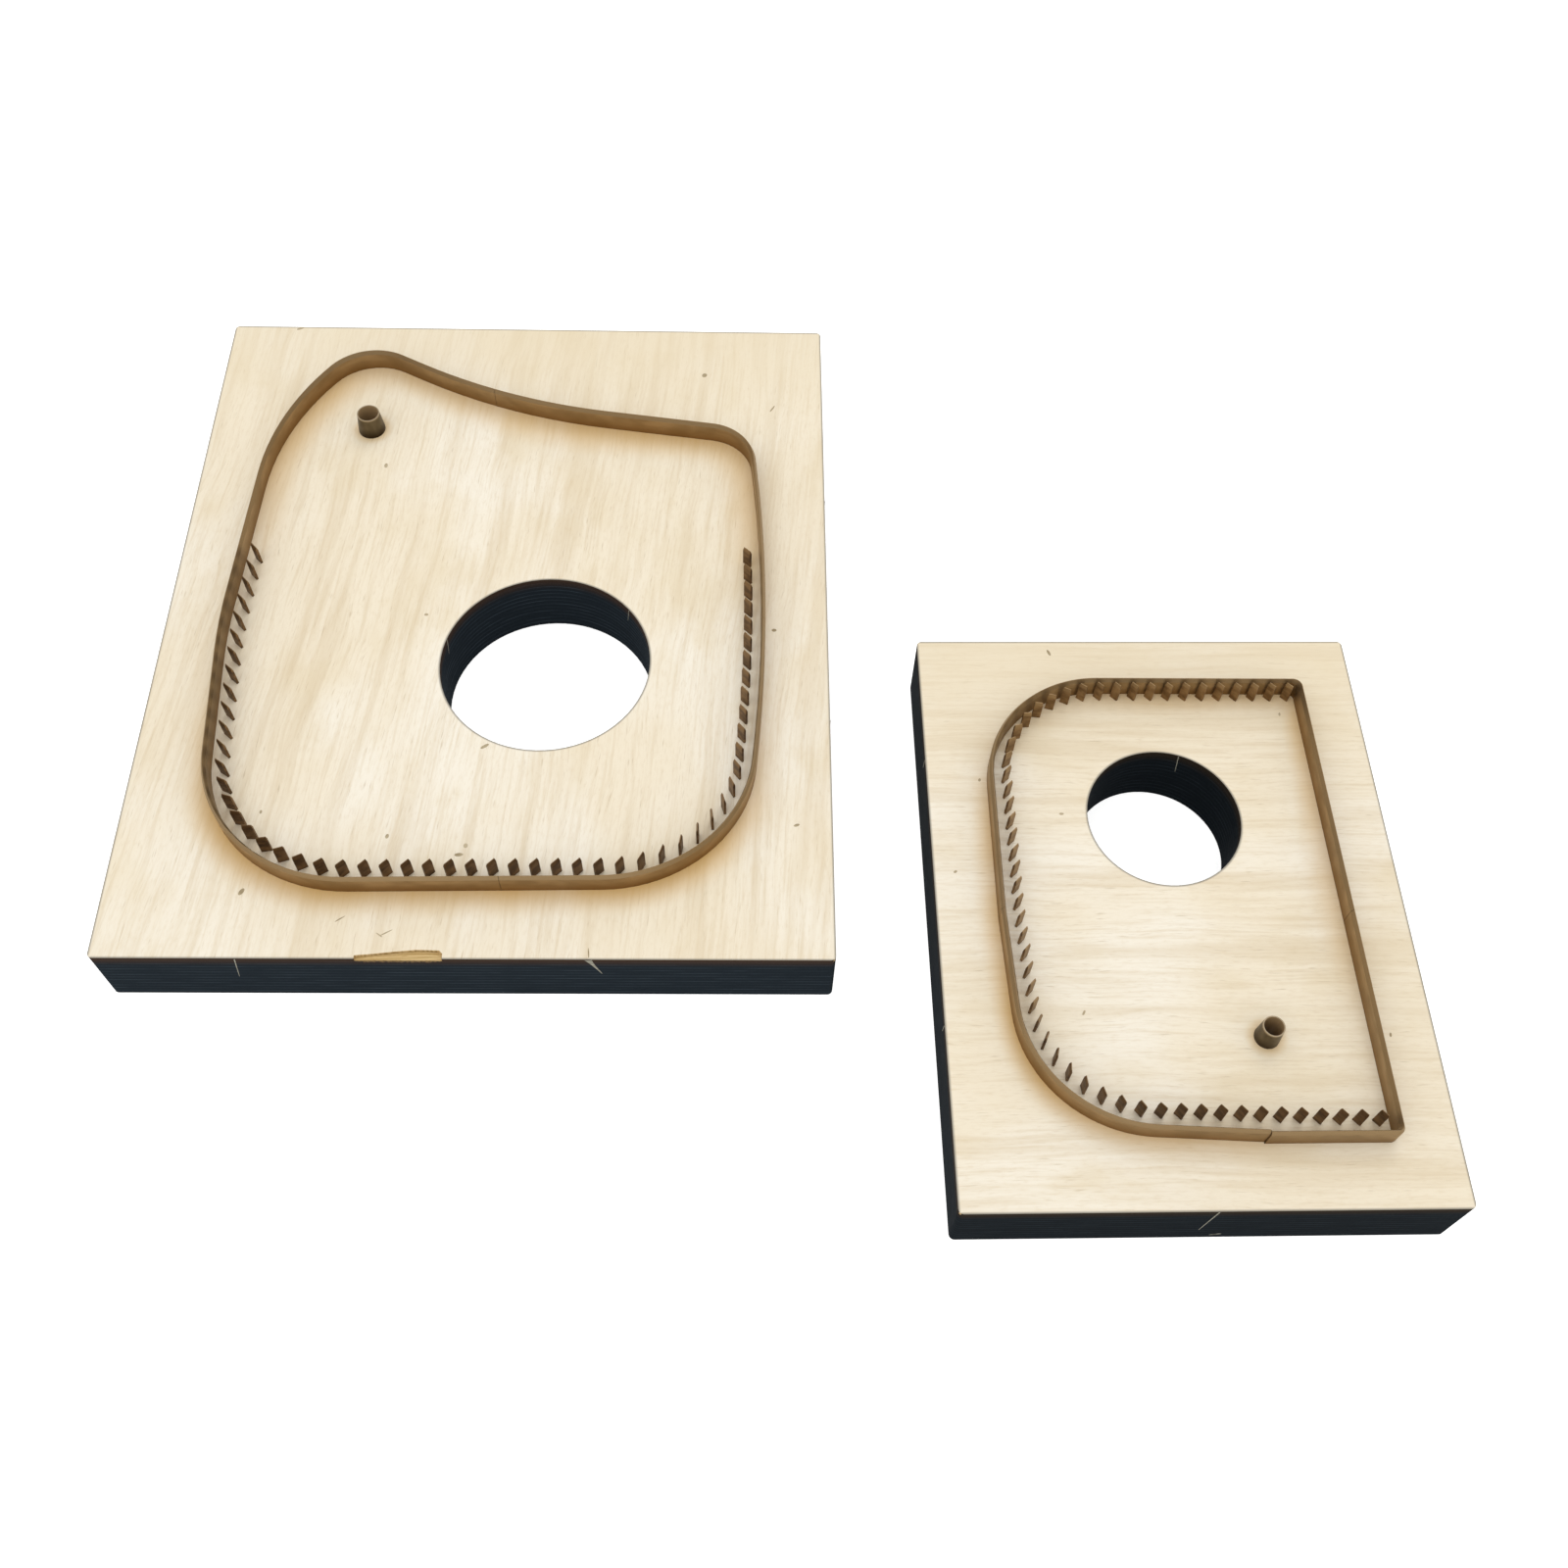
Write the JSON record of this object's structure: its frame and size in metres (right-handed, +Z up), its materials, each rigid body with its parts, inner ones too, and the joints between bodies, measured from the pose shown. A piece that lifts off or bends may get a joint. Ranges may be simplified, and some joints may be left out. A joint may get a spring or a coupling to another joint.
{
  "type": "leather cutting die set",
  "caption": "Leather cutting dies: plywood boards with bent steel cutting rule standing up in a closed outline, slanted stitch teeth inside it, a punch tube and a round push-out hole",
  "frame": {"origin": "middle of the large die's push-out hole, on the level of the undersides that the dies rest on", "axes": "+Z up out of the cutting edges, +X from the large die to the small die, +Y towards the back"},
  "size_m": [0.2869, 0.245, 0.0238],
  "materials": {
    "large_board_plywood": "pale face veneer, laser-charred near-black edges",
    "small_board_plywood": "pale face veneer, laser-charred near-black edges",
    "rule_steel": "brown tempered steel strip with a paler ground bevel",
    "tooth_steel": "dark brown oiled steel",
    "tube_steel": "brown steel tube, bright at the rim"
  },
  "bodies": {
    "large_die": {"large_board": "large_board_plywood", "large_rule_right_lower": "rule_steel", "large_rule_right_upper": "rule_steel", "large_rule_left": "rule_steel", "large_punch_tube": "tube_steel", "large_teeth_left": "tooth_steel", "large_teeth_lower_left": "tooth_steel", "large_teeth_bottom": "tooth_steel", "large_teeth_lower_right": "tooth_steel", "large_teeth_right": "tooth_steel"},
    "small_die": {"small_board": "small_board_plywood", "small_rule_upper": "rule_steel", "small_rule_lower": "rule_steel", "small_rule_right": "rule_steel", "small_punch_tube": "tube_steel", "small_teeth_top": "tooth_steel", "small_teeth_upper_left": "tooth_steel", "small_teeth_left": "tooth_steel", "small_teeth_lower_left": "tooth_steel", "small_teeth_bottom": "tooth_steel"}
  },
  "joints": [
    {"name": "small_die_lift", "type": "slide", "parent": "large_die", "child": "small_die", "axis": [0, 0, 1], "range_m": [0, 0.08]}
  ]
}
